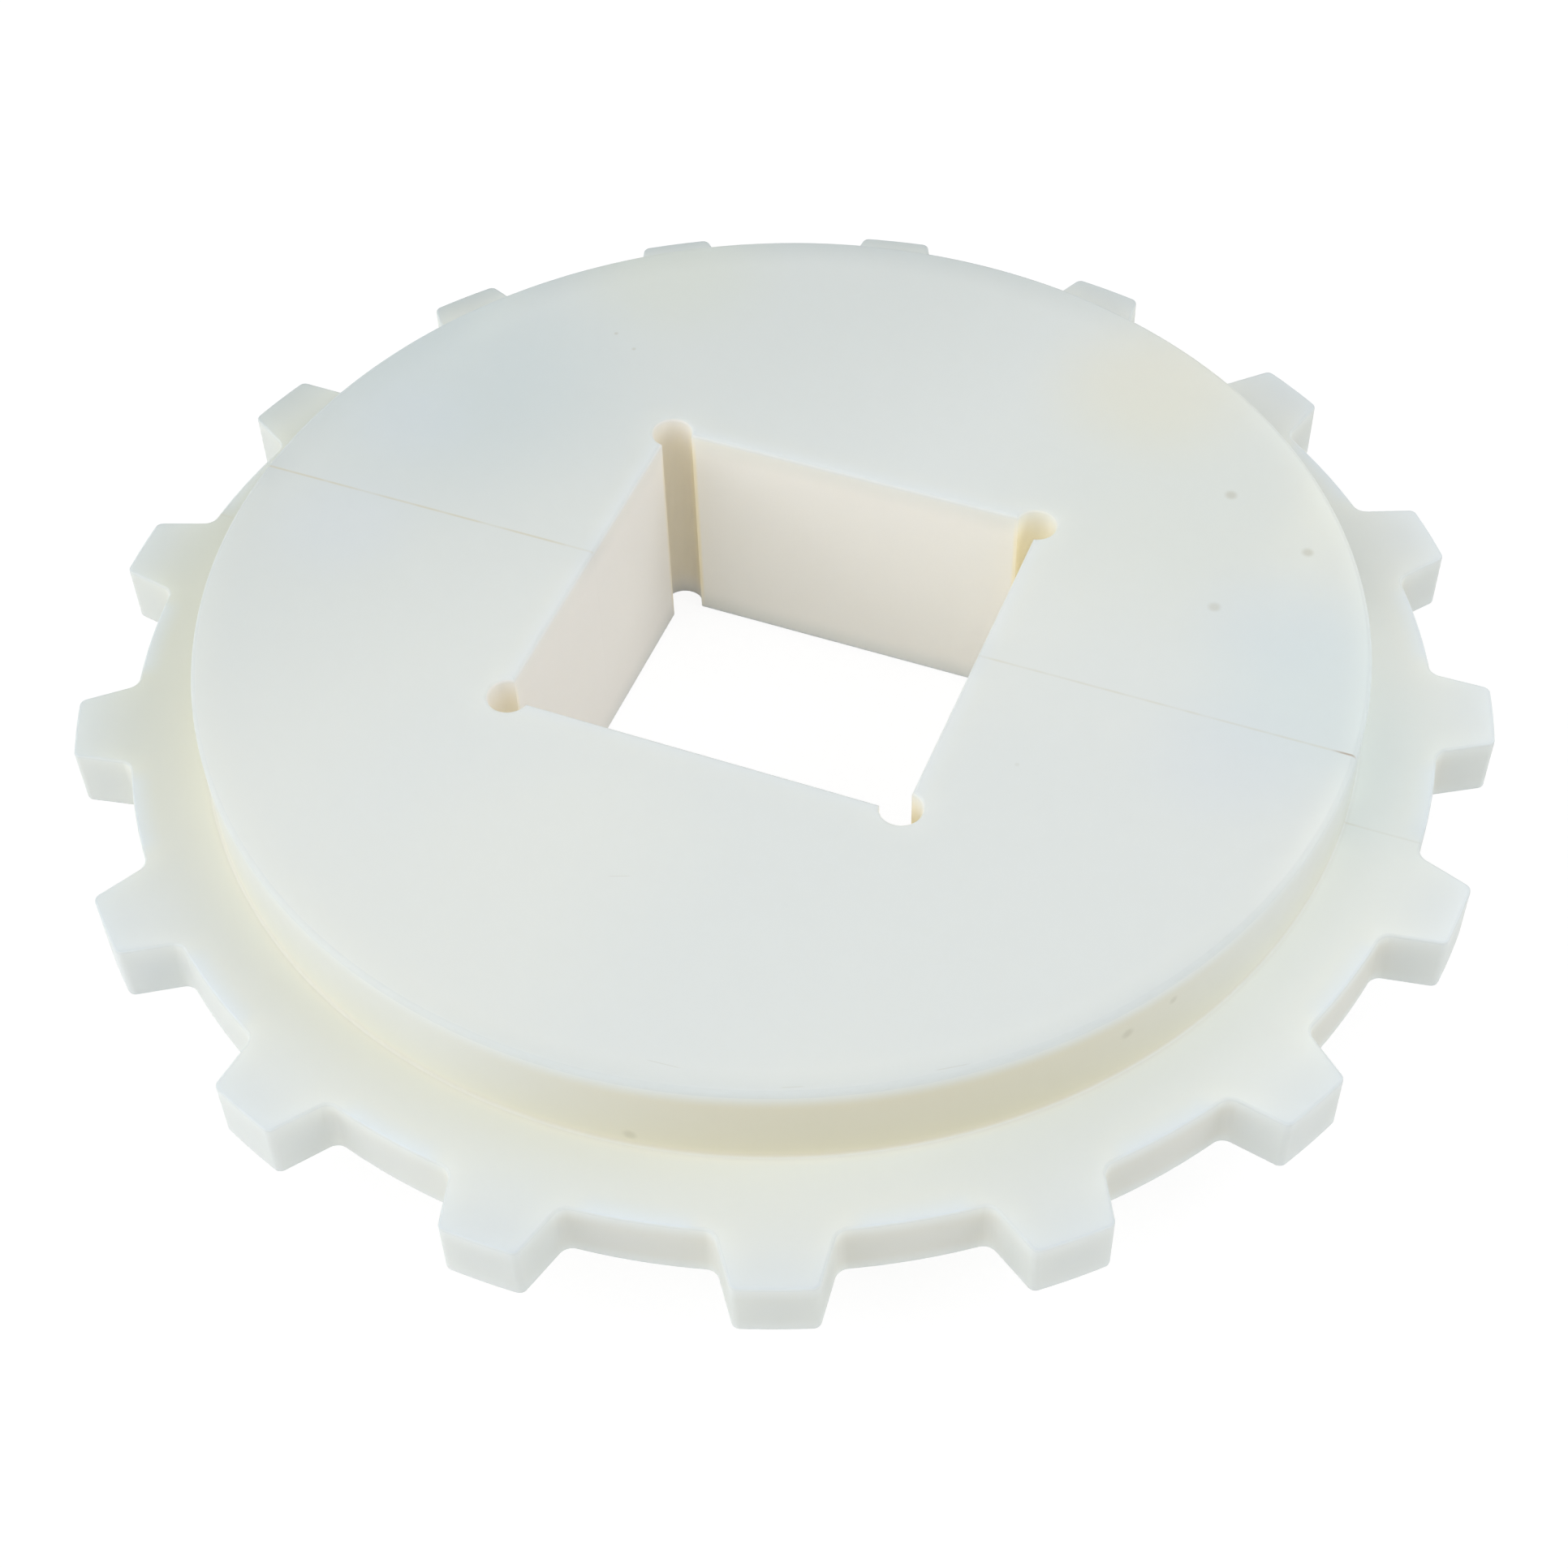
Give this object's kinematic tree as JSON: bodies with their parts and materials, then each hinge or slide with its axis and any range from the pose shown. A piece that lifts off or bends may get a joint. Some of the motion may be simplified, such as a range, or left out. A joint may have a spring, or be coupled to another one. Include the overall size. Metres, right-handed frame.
{
  "type": "split sprocket",
  "caption": "Split plastic sprocket with a square bore, a wide hub and a thin toothed rim, two halves clamped over a shaft by hidden cap screws.",
  "frame": {"origin": "centre of the square bore, in the middle plane of the toothed rim", "axes": "+Z along the bore axis, out of the face that the picture shows; X along the seam; +Y towards the half that holds the screw heads"},
  "size_m": [0.2088, 0.208, 0.038],
  "materials": {
    "nylon": "machined, satin",
    "stainless": "bright",
    "brass": "turned"
  },
  "bodies": {
    "root": {"front_half": "nylon", "back_half": "nylon", "cap_screw_left_upper": "stainless", "washer_left_upper": "stainless", "threaded_insert_left_upper": "brass", "cap_screw_left_lower": "stainless", "washer_left_lower": "stainless", "threaded_insert_left_lower": "brass", "cap_screw_right_upper": "stainless", "washer_right_upper": "stainless", "threaded_insert_right_upper": "brass", "cap_screw_right_lower": "stainless", "washer_right_lower": "stainless", "threaded_insert_right_lower": "brass", "dowel_pin_left": "stainless", "dowel_pin_right": "stainless"}
  },
  "joints": []
}
